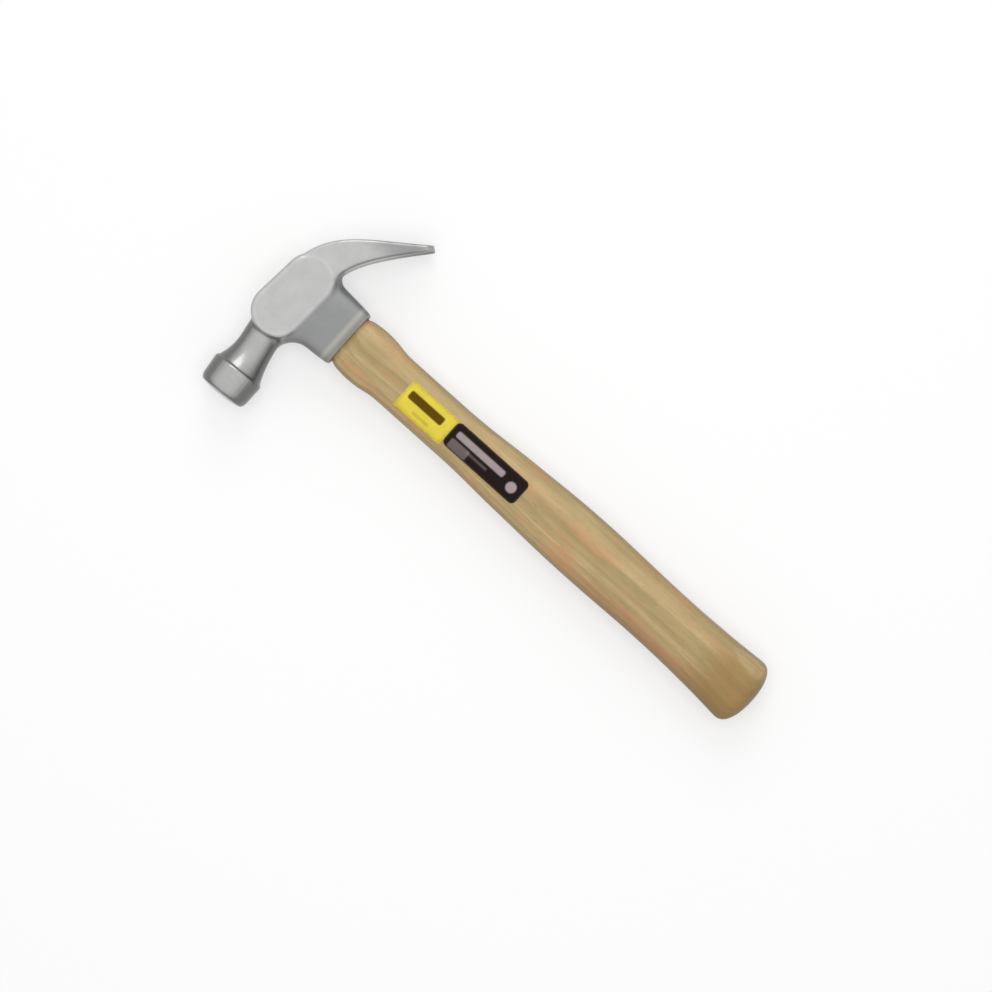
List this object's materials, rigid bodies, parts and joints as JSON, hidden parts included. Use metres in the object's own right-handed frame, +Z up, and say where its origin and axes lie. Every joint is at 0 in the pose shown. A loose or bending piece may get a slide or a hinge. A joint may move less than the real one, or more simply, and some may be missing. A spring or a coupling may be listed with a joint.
{
  "type": "claw hammer",
  "caption": "Curved-claw carpenter's hammer: forged steel head wedged on an oval hardwood handle, with two label areas on its upper side.",
  "frame": {"origin": "middle of the underside, as the hammer lies on its side", "axes": "+X along the handle from head to butt, +Y towards the claws, so that the striking face looks towards -Y, +Z up through the cheeks"},
  "size_m": [0.3324, 0.1318, 0.0291],
  "materials": {
    "forged_steel": "ground and polished",
    "handle_wood": "clear lacquer",
    "wedge_wood": "bare",
    "wedge_steel": "dull",
    "yellow_label": "printed film",
    "black_label": "printed film"
  },
  "bodies": {
    "root": {"hammer_head": "forged_steel", "handle": "handle_wood", "wood_wedge": "wedge_wood", "steel_wedge_1": "wedge_steel", "steel_wedge_2": "wedge_steel", "yellow_label": "yellow_label", "black_label": "black_label"}
  },
  "joints": []
}
